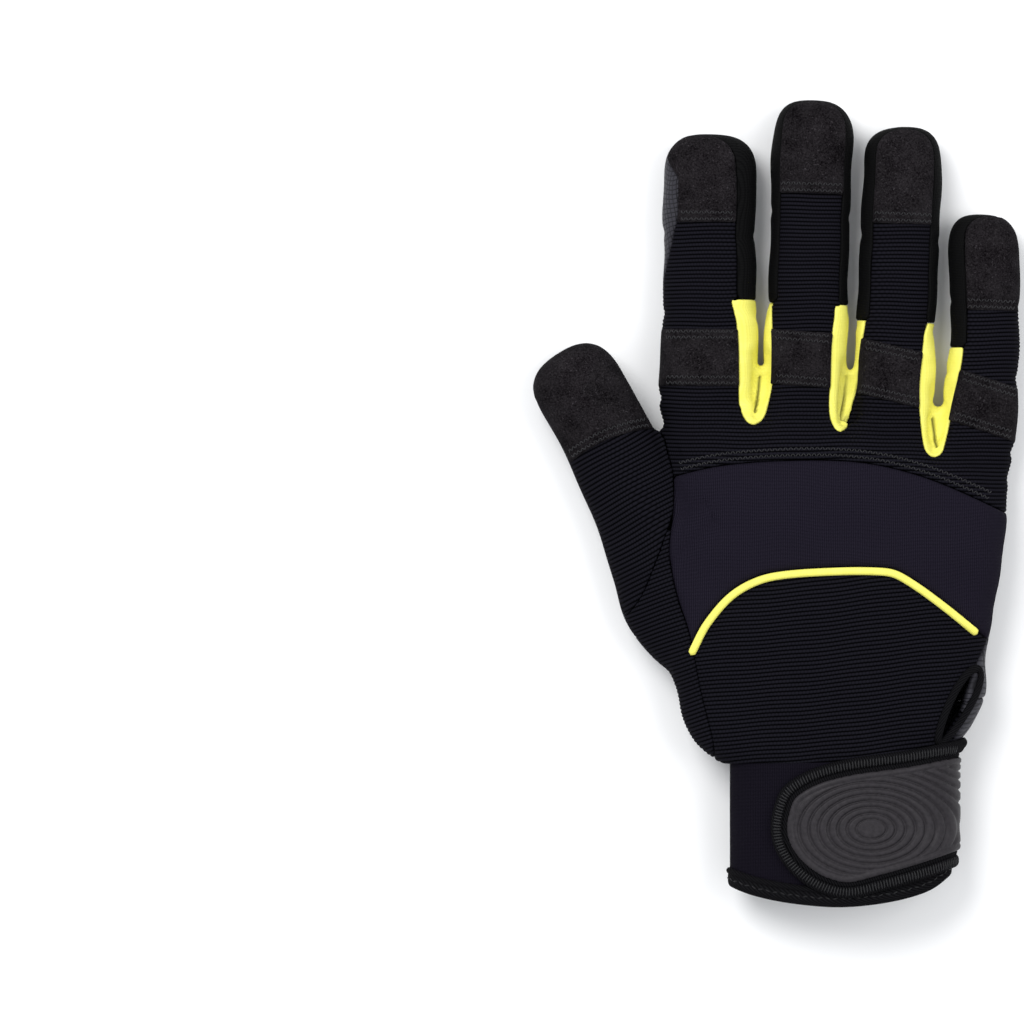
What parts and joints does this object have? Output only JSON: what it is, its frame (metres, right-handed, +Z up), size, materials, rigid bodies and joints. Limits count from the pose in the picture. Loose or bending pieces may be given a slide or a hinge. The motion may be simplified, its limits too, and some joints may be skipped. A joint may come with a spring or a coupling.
{
  "type": "anti vibration glove",
  "caption": "Right-hand work glove with a padded palm, knit back, suede fingertips, bright webs and piping, and a strap over the wrist.",
  "frame": {"origin": "middle of the box's base, on the surface that the palm lies on", "axes": "+Y from the wrist towards the fingertips, +X towards the little finger, +Z up out of the hand's back"},
  "size_m": [0.1478, 0.2444, 0.0331],
  "materials": {
    "ribbed_knit": "ribbed knit",
    "embossed_leather": "embossed synthetic leather",
    "dark_stretch_cloth": "smooth stretch cloth",
    "bright_stretch_cloth": "smooth bright stretch cloth",
    "bright_cord": "smooth bright piping",
    "moulded_rubber": "matte moulded",
    "neoprene": "cloth-faced neoprene",
    "binding_tape": "woven tape with overlock stitches",
    "suede": "synthetic suede"
  },
  "bodies": {
    "root": {"cuff_neoprene": "neoprene", "cuff_pull_patch": "suede", "heel_leather": "embossed_leather", "hem_binding": "binding_tape", "index_knuckle_bar": "suede", "index_middle_web": "bright_stretch_cloth", "index_side_strip": "dark_stretch_cloth", "index_tip_cap": "suede", "knuckle_knit": "ribbed_knit", "knuckle_pad": "neoprene", "little_knuckle_bar": "suede", "little_side_strip": "dark_stretch_cloth", "little_tip_cap": "suede", "lower_back_knit": "ribbed_knit", "middle_knuckle_bar": "suede", "middle_ring_web": "bright_stretch_cloth", "middle_side_strip": "dark_stretch_cloth", "middle_tip_cap": "suede", "palm_leather": "embossed_leather", "piping": "bright_cord", "ring_knuckle_bar": "suede", "ring_little_web": "bright_stretch_cloth", "ring_side_strip": "dark_stretch_cloth", "ring_tip_cap": "suede", "strap_badge": "moulded_rubber", "strap_band": "binding_tape", "strap_binding": "binding_tape", "thumb_back_knit": "ribbed_knit", "thumb_gusset_knit": "ribbed_knit", "thumb_leather": "embossed_leather", "thumb_tip_cap": "suede", "vent_binding": "binding_tape"}
  },
  "joints": []
}
